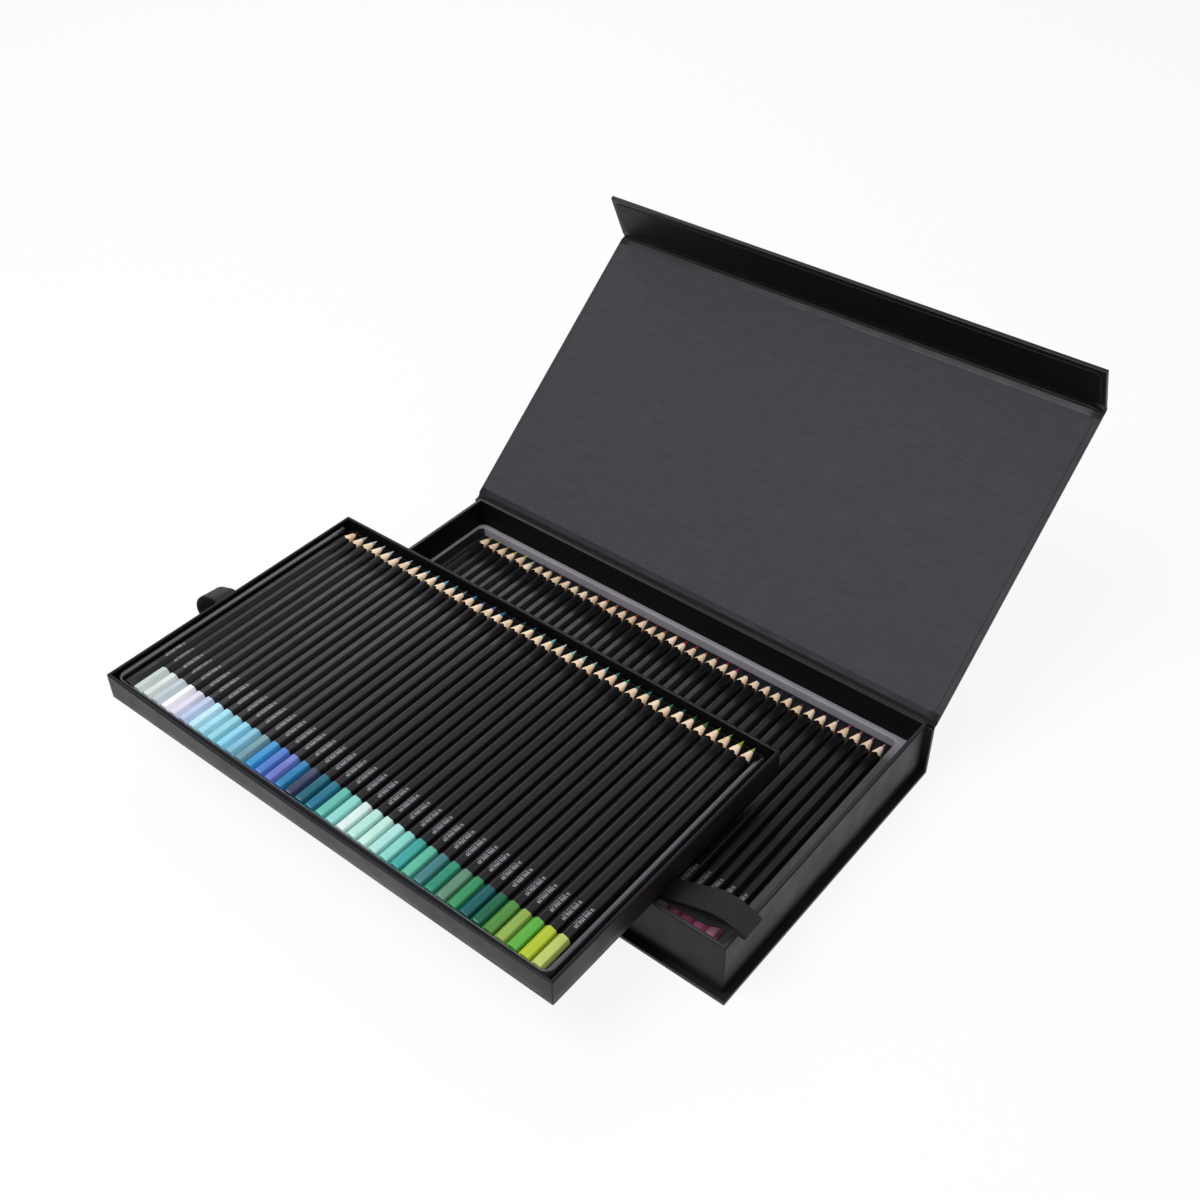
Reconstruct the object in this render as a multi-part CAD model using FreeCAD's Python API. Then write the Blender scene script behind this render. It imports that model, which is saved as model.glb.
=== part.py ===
import FreeCAD, Part
import math
import os

# A book-style case of colour pencils, standing open, with its lift-out tray laid across the box.
# Lengths are millimetres and angles degrees. X runs along the hinge, Y to the back, Z up.
# The origin is the middle of the box, on the underside of the base board.

# Box and cover boards. The box takes its width and depth from the pencils and the liner in it.
WALL = 2.5
BOARD = 2.5
COVER_LIP = 4.0

# Lid and flap. Each crease leaves a gap on both sides of its axis, so that the boards can turn.
CREASE_GAP = 2.0
CREASE_PLAY = 0.3
CREASE_SKIN = 0.7
LID_OPEN_ANGLE = 141.2
FLAP_FOLD_ANGLE = 74.2
FLAP_STANDOFF = 1.2
FLAP_LENGTH = 34.9
CREASE_LAP_ANGLE = 35.0

# Linings of the lid and the flap
LINING = 0.5
LID_LINING_INSET = 3.5
FLAP_LINING_INSET = 3.0
LINING_CORNER = 3.5

# Closure: disc magnets under the flap's lining and steel strips let into the front wall
MAGNET_RADIUS = 5.0
MAGNET_THICKNESS = 1.2
KEEPER_LENGTH = 20.0
KEEPER_WIDTH = 10.0
KEEPER_THICKNESS = 0.8
POCKET_PLAY = 0.15
CLOSURE_SPREAD_SHARE = 0.56

# Lift-out tray and where it lies on the box walls; in front it reaches out by a share of the box
TRAY_PLAY_X = 1.25
TRAY_PLAY_Y = 0.5
TRAY_HEIGHT = 17.1
TRAY_WALL = 2.0
TRAY_HEADROOM = 1.0
TRAY_OVERHANG_LEFT = 36.95
TRAY_OVERHANG_FRONT_SHARE = 0.39124

# Pencils
PENCIL_COUNT = 40
PENCIL_LENGTH = 180.0
PENCIL_FLATS = 6.6
PENCIL_GAP = 0.164
DIP_LENGTH = 20.6
CONE_LENGTH = 16.0
LEAD_LENGTH = 3.6
CUT_FACES = 12
PENCIL_END_PLAY = 0.3

# Formed liners, with a groove for each pencil
LINER_SHEET = 0.7
RIDGE_DROP = 1.0
RIDGE_BASE = 3.2
LOWER_LINER_PLAY = 0.3
LOWER_FLANGE_HEIGHT = 20.4
LOWER_FLANGE_LEFT = 2.0
LOWER_FLANGE_RIGHT = 11.2
LOWER_FLANGE_FRONT = 2.2
LOWER_FLANGE_REAR = 5.6
LOWER_SIDE_LEFT = 11.1
LOWER_SIDE_RIGHT = 5.0
LOWER_CORNER = 2.2
LOWER_AXIS_HEIGHT = 17.0
UPPER_LINER_PLAY_LEFT = 2.0
UPPER_LINER_PLAY_RIGHT = 3.0
UPPER_LINER_PLAY_Y = 1.0
UPPER_RIM_HEIGHT = 15.6
UPPER_RIM_LEFT = 2.9
UPPER_RIM_RIGHT = 2.5
UPPER_RIM_END = 5.5
UPPER_CORNER = 6.0
UPPER_AXIS_HEIGHT = 13.45
UPPER_SIDE_LEFT = 7.2

# Ribbon loops, each with both ends glued under the tray floor
RIBBON = 0.6
RIBBON_WIDTH = 15.0
RIBBON_OFF_CENTRE = 0.85
RIBBON_TAIL = 26.0
RIBBON_TAIL_PLAY = 0.15
LEFT_LOOP_REACH = 34.0
RIGHT_LOOP_REACH = 49.4

# The route of each loop from the end of its tail, out from the tray and back: the length of each
# straight stretch, then the radius of the bend after it, both as shares of the loop's reach, and
# the bend's turn in degrees, upwards positive while the ribbon runs outwards
LEFT_LOOP_SHARES = [(0.0, 0.13, 60), (0.10, 0.20, -76), (0.19, 0.62, -39), (0.0, 0.38, -35),
                    (0.0, 0.21, -126), (0.602, 0.20, 36)]
RIGHT_LOOP_SHARES = [(0.0, 0.18, -38), (0.05, 0.22, 62), (0.435, 0.65, -44), (0.085, 0.026, -170),
                     (0.10, 0.12, 40), (0.20, 0.445, -28), (0.445, 0.26, -40), (0.06, 0.16, 38)]
LEFT_TAIL_SHARE = 0.775
RIGHT_TAIL_SHARE = 0.165
STRAIGHT_SHARE = 0.02

# One allowance for every cut that has to run past a face
OVERRUN = 1.0

# Families of pencil colours from left to right, with the number of pencils in each
UPPER_FAMILY_COUNTS = {"greys": 7, "blues": 11, "teals": 12, "greens": 10}
LOWER_FAMILY_COUNTS = {"yellows": 6, "browns": 7, "oranges": 8, "reds": 7, "violets": 8, "pinks": 4}

# Sizes that follow from those above
PENCIL_HALF_FLATS = PENCIL_FLATS / 2
PENCIL_HALF_CORNERS = PENCIL_HALF_FLATS / math.cos(math.radians(30))
PENCIL_PITCH = 2 * PENCIL_HALF_CORNERS + PENCIL_GAP
ROW_SPAN = (PENCIL_COUNT - 1) * PENCIL_PITCH
TUB_WIDTH = LOWER_SIDE_LEFT + ROW_SPAN + LOWER_SIDE_RIGHT
TUB_DEPTH = PENCIL_LENGTH + 2 * PENCIL_END_PLAY
BOX_WIDTH = (2 * WALL + 2 * LOWER_LINER_PLAY + LOWER_FLANGE_LEFT + TUB_WIDTH
             + LOWER_FLANGE_RIGHT)
BOX_DEPTH = (2 * WALL + 2 * LOWER_LINER_PLAY + LOWER_FLANGE_FRONT + TUB_DEPTH
             + LOWER_FLANGE_REAR)
WALL_TOP = LOWER_FLANGE_HEIGHT + TRAY_HEIGHT + TRAY_HEADROOM
HALF_WIDTH = BOX_WIDTH / 2
HALF_DEPTH = BOX_DEPTH / 2
COVER_HALF_WIDTH = HALF_WIDTH + COVER_LIP
COVER_FRONT = -HALF_DEPTH - COVER_LIP
HINGE_Y = HALF_DEPTH + BOARD
FOLD_Y = COVER_FRONT - FLAP_STANDOFF
TRAY_WIDTH = BOX_WIDTH - 2 * WALL - 2 * TRAY_PLAY_X
TRAY_DEPTH = BOX_DEPTH - 2 * WALL - 2 * TRAY_PLAY_Y
TRAY_LEFT = -HALF_WIDTH - TRAY_OVERHANG_LEFT
TRAY_RIGHT = TRAY_LEFT + TRAY_WIDTH
TRAY_FRONT = -HALF_DEPTH - BOX_DEPTH * TRAY_OVERHANG_FRONT_SHARE
TRAY_REAR = TRAY_FRONT + TRAY_DEPTH
HINGE_AXIS = FreeCAD.Vector(0, HINGE_Y, WALL_TOP)
FOLD_AXIS = FreeCAD.Vector(0, FOLD_Y, WALL_TOP)
ALONG_X = FreeCAD.Vector(1, 0, 0)
ALONG_Y = FreeCAD.Vector(0, 1, 0)
UP = FreeCAD.Vector(0, 0, 1)


def block(x_from, x_to, y_from, y_to, z_from, z_to):
    """A rectangular board between the given faces."""
    corner = FreeCAD.Vector(x_from, y_from, z_from)
    return Part.makeBox(x_to - x_from, y_to - y_from, z_to - z_from, corner)


def rounded_block(x_from, x_to, y_from, y_to, z_from, z_to, radius):
    """A board whose four upright edges are rounded."""
    body = block(x_from, x_to, y_from, y_to, z_from, z_to)
    upright = [edge for edge in body.Edges if edge.BoundBox.ZLength > (z_to - z_from) / 2]
    return body.makeFillet(radius, upright)


def save(name, solids):
    """Write one sub-part, which may be a group of separate solids."""
    shape = solids[0] if len(solids) == 1 else Part.makeCompound(solids)
    shape.exportStep("parts/" + name + ".step")


def lid_pose(shape):
    """Turn a piece that is drawn on the closed case to where the open lid carries it."""
    shape.rotate(HINGE_AXIS, ALONG_X, -LID_OPEN_ANGLE)
    return shape


def flap_pose(shape):
    """Turn a piece that is drawn in line with the lid to where the folded flap carries it."""
    shape.rotate(FOLD_AXIS, ALONG_X, FLAP_FOLD_ANGLE)
    return lid_pose(shape)


def round_about(axis, radius, angle):
    """The point beside an axis along X, at an angle counted from +Y towards +Z."""
    turn = math.radians(angle)
    return FreeCAD.Vector(-COVER_HALF_WIDTH, axis.y + radius * math.cos(turn),
                          axis.z + radius * math.sin(turn))


def crease(axis, from_angle, to_angle):
    """The bent strip of covering paper round the outer side of a fold."""
    outer = CREASE_GAP - CREASE_PLAY
    inner = outer - CREASE_SKIN
    middle_angle = (from_angle + to_angle) / 2
    outer_arc = Part.Arc(round_about(axis, outer, from_angle),
                         round_about(axis, outer, middle_angle),
                         round_about(axis, outer, to_angle))
    inner_arc = Part.Arc(round_about(axis, inner, to_angle),
                         round_about(axis, inner, middle_angle),
                         round_about(axis, inner, from_angle))
    last_end = Part.makeLine(round_about(axis, outer, to_angle), round_about(axis, inner, to_angle))
    first_end = Part.makeLine(round_about(axis, inner, from_angle),
                              round_about(axis, outer, from_angle))
    outline = Part.Wire([outer_arc.toShape(), last_end, inner_arc.toShape(), first_end])
    return Part.Face(outline).extrude(ALONG_X * (2 * COVER_HALF_WIDTH))


def closure_places():
    """Where the closure pieces sit along the front of the case."""
    return [-HALF_WIDTH * CLOSURE_SPREAD_SHARE, HALF_WIDTH * CLOSURE_SPREAD_SHARE]


def keepers(play):
    """The steel strips in the front wall, flush with its inner face, grown by play all round."""
    height = WALL_TOP - FLAP_LENGTH / 2
    face = -HALF_DEPTH + WALL
    return [block(x - KEEPER_LENGTH / 2 - play, x + KEEPER_LENGTH / 2 + play,
                  face - KEEPER_THICKNESS, face + play,
                  height - KEEPER_WIDTH / 2 - play, height + KEEPER_WIDTH / 2 + play)
            for x in closure_places()]


def make_cover_and_box():
    """The base and spine boards and the four walls that stand on the base."""
    base = block(-COVER_HALF_WIDTH, COVER_HALF_WIDTH, COVER_FRONT, HALF_DEPTH, 0, BOARD)
    spine = block(-COVER_HALF_WIDTH, COVER_HALF_WIDTH, HALF_DEPTH, HINGE_Y, 0,
                  WALL_TOP - CREASE_GAP)
    rear = block(-HALF_WIDTH, HALF_WIDTH, HALF_DEPTH - WALL, HALF_DEPTH, BOARD, WALL_TOP)
    front = block(-HALF_WIDTH, HALF_WIDTH, -HALF_DEPTH, -HALF_DEPTH + WALL, BOARD, WALL_TOP)
    for pocket in keepers(POCKET_PLAY):
        front = front.cut(pocket)
    save("cover_base_board", [base])
    save("cover_spine_board", [spine])
    save("box_rear_wall", [rear])
    save("box_front_wall", [front])
    save("front_wall_keepers", keepers(0))
    for name, x_from in (("box_left_wall", -HALF_WIDTH), ("box_right_wall", HALF_WIDTH - WALL)):
        save(name, [block(x_from, x_from + WALL, -HALF_DEPTH + WALL, HALF_DEPTH - WALL,
                          BOARD, WALL_TOP)])
    save("lid_crease", [crease(HINGE_AXIS, -90 - CREASE_LAP_ANGLE, 180 - LID_OPEN_ANGLE)])


def make_lid():
    """The lid board, its lining and the crease that carries the flap."""
    front_end = FOLD_Y + CREASE_GAP
    rear_end = HINGE_Y - CREASE_GAP
    board = block(-COVER_HALF_WIDTH, COVER_HALF_WIDTH, front_end, rear_end,
                  WALL_TOP, WALL_TOP + BOARD)
    lining = rounded_block(-COVER_HALF_WIDTH + LID_LINING_INSET,
                           COVER_HALF_WIDTH - LID_LINING_INSET,
                           front_end + LID_LINING_INSET, rear_end - LID_LINING_INSET,
                           WALL_TOP - LINING, WALL_TOP, LINING_CORNER)
    save("lid_board", [lid_pose(board)])
    save("lid_lining", [lid_pose(lining)])
    save("flap_crease", [lid_pose(crease(FOLD_AXIS, 0, 180 + FLAP_FOLD_ANGLE))])


def make_flap():
    """The front flap, drawn in line with the lid: board, lining and the magnets under it."""
    rear_end = FOLD_Y - CREASE_GAP
    free_end = FOLD_Y - FLAP_LENGTH
    board = block(-COVER_HALF_WIDTH, COVER_HALF_WIDTH, free_end, rear_end,
                  WALL_TOP, WALL_TOP + BOARD)
    magnets = []
    for x in closure_places():
        middle = FreeCAD.Vector(x, FOLD_Y - FLAP_LENGTH / 2, WALL_TOP)
        magnets.append(Part.makeCylinder(MAGNET_RADIUS, MAGNET_THICKNESS, middle, UP))
        board = board.cut(Part.makeCylinder(MAGNET_RADIUS + POCKET_PLAY, MAGNET_THICKNESS,
                                            middle, UP))
    lining = rounded_block(-COVER_HALF_WIDTH + FLAP_LINING_INSET,
                           COVER_HALF_WIDTH - FLAP_LINING_INSET,
                           free_end + FLAP_LINING_INSET, rear_end - FLAP_LINING_INSET,
                           WALL_TOP - LINING, WALL_TOP, LINING_CORNER)
    save("flap_board", [flap_pose(board)])
    save("flap_magnets", [flap_pose(magnet) for magnet in magnets])
    save("flap_lining", [flap_pose(lining)])


def make_tray():
    """The lift-out tray: a floor between four walls."""
    top = WALL_TOP + TRAY_HEIGHT
    floor = block(TRAY_LEFT + TRAY_WALL, TRAY_RIGHT - TRAY_WALL,
                  TRAY_FRONT + TRAY_WALL, TRAY_REAR - TRAY_WALL, WALL_TOP, WALL_TOP + TRAY_WALL)
    save("tray_floor", [floor])
    for name, y_from in (("tray_front_wall", TRAY_FRONT), ("tray_rear_wall", TRAY_REAR - TRAY_WALL)):
        save(name, [block(TRAY_LEFT, TRAY_RIGHT, y_from, y_from + TRAY_WALL, WALL_TOP, top)])
    for name, x_from in (("tray_left_wall", TRAY_LEFT), ("tray_right_wall", TRAY_RIGHT - TRAY_WALL)):
        save(name, [block(x_from, x_from + TRAY_WALL, TRAY_FRONT + TRAY_WALL,
                          TRAY_REAR - TRAY_WALL, WALL_TOP, top)])


def groove_outline(first_axis, floor_height, ridge_height, drop):
    """The line across a row of grooves, lowered by drop, with a ridge between pencils."""
    line = [(first_axis - PENCIL_PITCH, floor_height - drop)]
    for number in range(PENCIL_COUNT + 1):
        middle = first_axis + (number - 0.5) * PENCIL_PITCH
        line.append((middle - RIDGE_BASE / 2, floor_height - drop))
        line.append((middle, ridge_height - drop))
        line.append((middle + RIDGE_BASE / 2, floor_height - drop))
    line.append((first_axis + ROW_SPAN + PENCIL_PITCH, floor_height - drop))
    return line


def grooved_sheet(first_axis, axis_height, y_from, y_to):
    """The formed floor under a row of pencils."""
    floor_height = axis_height - PENCIL_HALF_FLATS
    ridge_height = axis_height - RIDGE_DROP
    top = groove_outline(first_axis, floor_height, ridge_height, 0)
    bottom = groove_outline(first_axis, floor_height, ridge_height, LINER_SHEET)
    outline = [FreeCAD.Vector(x, y_from, z) for x, z in top + bottom[::-1]]
    face = Part.Face(Part.makePolygon(outline + [outline[0]]))
    return face.extrude(FreeCAD.Vector(0, y_to - y_from, 0))


def make_lower_liner():
    """A flanged tub whose skirt stands on the base board and whose floor holds the pencils."""
    left = -HALF_WIDTH + WALL + LOWER_LINER_PLAY
    right = HALF_WIDTH - WALL - LOWER_LINER_PLAY
    front = -HALF_DEPTH + WALL + LOWER_LINER_PLAY
    rear = HALF_DEPTH - WALL - LOWER_LINER_PLAY
    tub_left = left + LOWER_FLANGE_LEFT
    tub_right = right - LOWER_FLANGE_RIGHT
    tub_front = front + LOWER_FLANGE_FRONT
    tub_rear = tub_front + TUB_DEPTH
    first_axis = tub_left + LOWER_SIDE_LEFT
    floor_height = LOWER_AXIS_HEIGHT - PENCIL_HALF_FLATS
    skin = LINER_SHEET
    outside = block(left, right, front, rear, BOARD, LOWER_FLANGE_HEIGHT)
    hollow = block(left + skin, right - skin, front + skin, rear - skin,
                   BOARD - OVERRUN, LOWER_FLANGE_HEIGHT - skin)
    tub_outside = rounded_block(tub_left - skin, tub_right + skin, tub_front - skin,
                                tub_rear + skin, floor_height - skin, LOWER_FLANGE_HEIGHT,
                                LOWER_CORNER + skin)
    tub_inside = rounded_block(tub_left, tub_right, tub_front, tub_rear,
                               floor_height - skin, LOWER_FLANGE_HEIGHT + OVERRUN, LOWER_CORNER)
    floor_edges = tub_outside.common(block(left, right, front, rear,
                                           floor_height - skin, floor_height))
    grooves = grooved_sheet(first_axis, LOWER_AXIS_HEIGHT, tub_front - skin, tub_rear + skin)
    grooves = grooves.common(tub_outside)
    span = block(first_axis - PENCIL_PITCH, first_axis + ROW_SPAN + PENCIL_PITCH, front,
                 rear, floor_height - skin, floor_height)
    shell = outside.cut(hollow).fuse(tub_outside).cut(tub_inside)
    liner = shell.fuse(floor_edges.cut(span)).fuse(grooves).removeSplitter()
    save("lower_liner", liner.Solids)
    make_pencils("lower", LOWER_FAMILY_COUNTS, first_axis, tub_front + PENCIL_END_PLAY,
                 LOWER_AXIS_HEIGHT)


def make_upper_liner():
    """A grooved tub with a narrow rim on three sides and a low ledge under the pencil points."""
    left = TRAY_LEFT + TRAY_WALL + UPPER_LINER_PLAY_LEFT
    right = TRAY_RIGHT - TRAY_WALL - UPPER_LINER_PLAY_RIGHT
    front = TRAY_FRONT + TRAY_WALL + UPPER_LINER_PLAY_Y
    rear = TRAY_REAR - TRAY_WALL - UPPER_LINER_PLAY_Y
    base = WALL_TOP + TRAY_WALL
    rim = WALL_TOP + UPPER_RIM_HEIGHT
    axis_height = WALL_TOP + UPPER_AXIS_HEIGHT
    floor_height = axis_height - PENCIL_HALF_FLATS
    skin = LINER_SHEET
    tub_left = left + UPPER_RIM_LEFT
    tub_right = right - UPPER_RIM_RIGHT
    first_axis = tub_left + UPPER_SIDE_LEFT
    rim_rear = rear - UPPER_RIM_END
    outside = rounded_block(left, right, front, rear, base, rim, UPPER_CORNER)
    low_rear = block(left, right, rim_rear, rear, floor_height, rim)
    hollow = rounded_block(left + skin, right - skin, front + skin, rear - skin,
                           base - OVERRUN, rim - skin, UPPER_CORNER - skin)
    low_rear_hollow = block(left, right, rim_rear - skin, rear, floor_height - skin, rim)
    tub_outside = block(tub_left - skin, tub_right + skin, front, rear, floor_height - skin, rim)
    tub_inside = block(tub_left, tub_right, front + skin, rear + OVERRUN,
                       floor_height - skin, rim + OVERRUN)
    tub_outside = tub_outside.common(outside)
    floor_edges = tub_outside.common(block(left, right, front, rear,
                                           floor_height - skin, floor_height))
    span = block(first_axis - PENCIL_PITCH, first_axis + ROW_SPAN + PENCIL_PITCH, front,
                 rear, floor_height - skin, floor_height)
    grooves = grooved_sheet(first_axis, axis_height, front, rim_rear).common(tub_outside)
    ledge = span.common(tub_outside).common(block(left, right, rim_rear, rear,
                                                  floor_height - skin, floor_height))
    outer_shell = outside.cut(low_rear).cut(hollow.cut(low_rear_hollow))
    shell = outer_shell.fuse(tub_outside.cut(low_rear)).cut(tub_inside)
    liner = shell.fuse(floor_edges.cut(span)).fuse(grooves).fuse(ledge).removeSplitter()
    save("upper_liner", liner.Solids)
    make_pencils("upper", UPPER_FAMILY_COUNTS, first_axis, front + skin + PENCIL_END_PLAY,
                 axis_height)


def ring(sides, radius, y):
    """The corners of a regular outline round the pencil's axis, the first one to the right."""
    corners = []
    for number in range(sides):
        turn = math.radians(360 * number / sides)
        corners.append(FreeCAD.Vector(radius * math.cos(turn), y, radius * math.sin(turn)))
    return corners


def flat_face(corners):
    """The flat face inside a closed row of corners."""
    return Part.Face(Part.makePolygon(corners + [corners[0]]))


def hexagon_bar(y_from, y_to):
    """A length of pencil barrel, with a flat on top and its corners left and right."""
    face = flat_face(ring(6, PENCIL_HALF_CORNERS, y_from))
    return face.extrude(FreeCAD.Vector(0, y_to - y_from, 0))


def sharpened(wide_ring, narrow_ring):
    """A solid with one flat cut between each pair of corners of two rings.

    The narrow ring may be a single point.
    """
    faces = [flat_face(wide_ring)]
    if len(narrow_ring) > 1:
        faces.append(flat_face(narrow_ring))
    for number, corner in enumerate(wide_ring):
        corners = [corner, wide_ring[number - 1], narrow_ring[(number - 1) % len(narrow_ring)]]
        if len(narrow_ring) > 1:
            corners.append(narrow_ring[number])
        faces.append(flat_face(corners))
    return Part.makeSolid(Part.makeShell(faces))


def pencil_pieces():
    """The dipped end, barrel, bare wood and lead of one pencil, with its butt at the origin.

    The sharpener's cut runs off each flat side further forward than off the corners, which
    leaves the scalloped edge of the barrel.
    """
    shoulder = PENCIL_LENGTH - CONE_LENGTH
    lead_start = PENCIL_LENGTH - LEAD_LENGTH
    lead_radius = PENCIL_HALF_CORNERS * LEAD_LENGTH / CONE_LENGTH
    shoulder_ring = ring(CUT_FACES, PENCIL_HALF_CORNERS, shoulder)
    lead_ring = ring(CUT_FACES, lead_radius, lead_start)
    point = FreeCAD.Vector(0, PENCIL_LENGTH, 0)
    wood_cut = sharpened(shoulder_ring, lead_ring)
    return {
        "dips": hexagon_bar(0, DIP_LENGTH),
        "barrels": hexagon_bar(DIP_LENGTH, shoulder),
        "wood_tips": hexagon_bar(shoulder, lead_start).common(wood_cut),
        "leads": sharpened(lead_ring, [point]),
    }


def row_of(piece, numbers, first_axis, butt, axis_height):
    """Copies of a pencil piece at the given places of a row."""
    return [piece.translated(FreeCAD.Vector(first_axis + number * PENCIL_PITCH, butt, axis_height))
            for number in numbers]


def make_pencils(layer, family_counts, first_axis, butt, axis_height):
    """One layer of pencils: barrels and wood in one group each, coloured pieces by family."""
    pieces = pencil_pieces()
    for kind in ("barrels", "wood_tips"):
        save(layer + "_" + kind,
             row_of(pieces[kind], range(PENCIL_COUNT), first_axis, butt, axis_height))
    first = 0
    for family, count in family_counts.items():
        for kind in ("dips", "leads"):
            save(layer + "_" + kind + "_" + family,
                 row_of(pieces[kind], range(first, first + count), first_axis, butt, axis_height))
        first += count


def bent_line(start, stretches, offset):
    """The corners and arc middles of a chain of straight stretches and bends, moved sideways.

    Positions are pairs, out from the tray and up. The side line at offset keeps each bend's
    centre, so both faces of the ribbon stay parallel.
    """
    (out, up), heading, pieces = start, 0.0, []
    place = (out - offset * math.sin(heading), up + offset * math.cos(heading))
    for length, radius, turn in stretches:
        out += length * math.cos(heading)
        up += length * math.sin(heading)
        begin = (out - offset * math.sin(heading), up + offset * math.cos(heading))
        pieces.append((place, None, begin))
        place = begin
        if turn:
            side = math.copysign(1, turn)
            centre = (out - side * radius * math.sin(heading),
                      up + side * radius * math.cos(heading))
            angles = [heading + math.radians(turn) * share for share in (0.5, 1.0)]
            reach = radius - side * offset
            middle, end = [(centre[0] + side * reach * math.sin(angle),
                            centre[1] - side * reach * math.cos(angle)) for angle in angles]
            pieces.append((begin, middle, end))
            heading = angles[1]
            out = centre[0] + side * radius * math.sin(heading)
            up = centre[1] - side * radius * math.cos(heading)
            place = end
    return pieces


def ribbon_loop(side, edge_x, reach, shares, tail_share):
    """A ribbon bent along a route: from its tail under the tray, round the loop and back."""
    y_front = (TRAY_FRONT + TRAY_REAR) / 2 - RIBBON_OFF_CENTRE - RIBBON_WIDTH / 2
    start = (-RIBBON_TAIL, -RIBBON_TAIL_PLAY - RIBBON / 2)
    stretches = [(length * reach, radius * reach, turn) for length, radius, turn in shares]
    stretches[0] = (tail_share * reach,) + stretches[0][1:]
    stretches.append((tail_share * reach, 0, 0))

    def vector(place):
        return FreeCAD.Vector(edge_x + side * place[0], y_front, WALL_TOP + place[1])

    edges = []
    for offset in (-RIBBON / 2, RIBBON / 2):
        for begin, middle, end in bent_line(start, stretches, offset):
            if middle:
                edges.append(Part.Arc(vector(begin), vector(middle), vector(end)).toShape())
            elif math.dist(begin, end) > RIBBON * STRAIGHT_SHARE:
                edges.append(Part.makeLine(vector(begin), vector(end)))
    lines = [bent_line(start, stretches, offset) for offset in (-RIBBON / 2, RIBBON / 2)]
    edges.append(Part.makeLine(vector(lines[0][0][0]), vector(lines[1][0][0])))
    edges.append(Part.makeLine(vector(lines[0][-1][2]), vector(lines[1][-1][2])))
    outline = Part.Wire(Part.__sortEdges__(edges))
    return Part.Face(outline).extrude(ALONG_Y * RIBBON_WIDTH)


def make_ribbons():
    """The finger loops at the two ends of the tray."""
    save("left_ribbon", [ribbon_loop(-1, TRAY_LEFT, LEFT_LOOP_REACH, LEFT_LOOP_SHARES,
                                     LEFT_TAIL_SHARE)])
    save("right_ribbon", [ribbon_loop(1, TRAY_RIGHT, RIGHT_LOOP_REACH, RIGHT_LOOP_SHARES,
                                      RIGHT_TAIL_SHARE)])


os.makedirs("parts", exist_ok=True)
make_cover_and_box()
make_lid()
make_flap()
make_tray()
make_lower_liner()
make_upper_liner()
make_ribbons()
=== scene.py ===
from collections import namedtuple
import math
import random

import bmesh
import bpy
from mathutils import Matrix, Vector


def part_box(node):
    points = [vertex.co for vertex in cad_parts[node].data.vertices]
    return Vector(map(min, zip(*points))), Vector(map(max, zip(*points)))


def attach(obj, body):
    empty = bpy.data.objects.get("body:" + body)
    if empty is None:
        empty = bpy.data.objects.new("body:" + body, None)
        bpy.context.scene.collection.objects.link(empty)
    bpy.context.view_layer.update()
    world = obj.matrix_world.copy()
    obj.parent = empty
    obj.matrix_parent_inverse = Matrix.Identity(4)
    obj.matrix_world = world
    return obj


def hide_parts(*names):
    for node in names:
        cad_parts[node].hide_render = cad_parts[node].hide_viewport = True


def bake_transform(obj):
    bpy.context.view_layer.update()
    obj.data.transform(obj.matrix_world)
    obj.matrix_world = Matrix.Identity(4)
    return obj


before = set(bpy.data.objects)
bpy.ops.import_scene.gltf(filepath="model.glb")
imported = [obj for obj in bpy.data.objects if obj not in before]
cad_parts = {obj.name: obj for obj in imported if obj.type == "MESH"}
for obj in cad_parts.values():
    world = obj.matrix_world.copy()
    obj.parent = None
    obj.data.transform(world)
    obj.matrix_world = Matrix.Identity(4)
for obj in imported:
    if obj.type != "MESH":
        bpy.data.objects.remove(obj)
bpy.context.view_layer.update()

# The look of a book-style case of colour pencils, standing open with its tray across the box.
# Lengths in this file are millimetres until a mesh is made; angles are degrees.
MM = 0.001
ROW_SEEDS = {"lower": 21, "upper": 17}

# Folds and boards of the cover, and walls, as in the solids
HINGE = (99.5, 38.5)
LID_OPEN = 141.2
FLAP_FOLD = 74.2
LID_LENGTH = 201.7
FLAP_LENGTH = 34.9
BOARD = 2.5
CREASE_GAP = 2.0
LID_INSET = 3.5
FLAP_INSET = 3.0
BOX_WALL = 2.5
TRAY_WALL = 2.0
BOARD_EDGE = 0.45

# Half a pencil's width across its flats and across its corners, and how many lie in a row
HALF_FLATS = 3.3
HALF_CORNERS = 3.81
ROW_COUNT = 40


# Places read from the frame

def extent(node):
    """The lowest and the highest corner of a CAD node, in millimetres."""
    low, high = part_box(node)
    return [c / MM for c in low], [c / MM for c in high]


def towards(angle):
    """The (y, z) direction at an angle counted from +Y towards +Z."""
    return Vector((math.cos(math.radians(angle)), math.sin(math.radians(angle))))


LID_ANGLE = 180 - LID_OPEN
FLAP_ANGLE = LID_ANGLE + FLAP_FOLD
FOLD = Vector(HINGE) + LID_LENGTH * towards(LID_ANGLE)


def lid_matrix():
    """Carries the plane of the lid's inner face from lying along +Y at the origin to its place."""
    place = Matrix.Translation((0, HINGE[0], HINGE[1]))
    return place @ Matrix.Rotation(math.radians(LID_ANGLE), 4, "X")


def flap_matrix():
    """The same for the flap, which starts at the fold."""
    place = Matrix.Translation((0, FOLD[0], FOLD[1]))
    return place @ Matrix.Rotation(math.radians(FLAP_ANGLE), 4, "X")


# Materials

def linear(colour):
    """An sRGB colour, as a paint card would give it, in the renderer's linear numbers."""
    return [c / 12.92 if c <= 0.04045 else ((c + 0.055) / 1.055) ** 2.4 for c in colour] + [1.0]


def shade(colour, factor):
    """A linear colour made lighter or darker."""
    return [min(1.0, c * factor) for c in colour[:3]] + [1.0]


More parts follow.
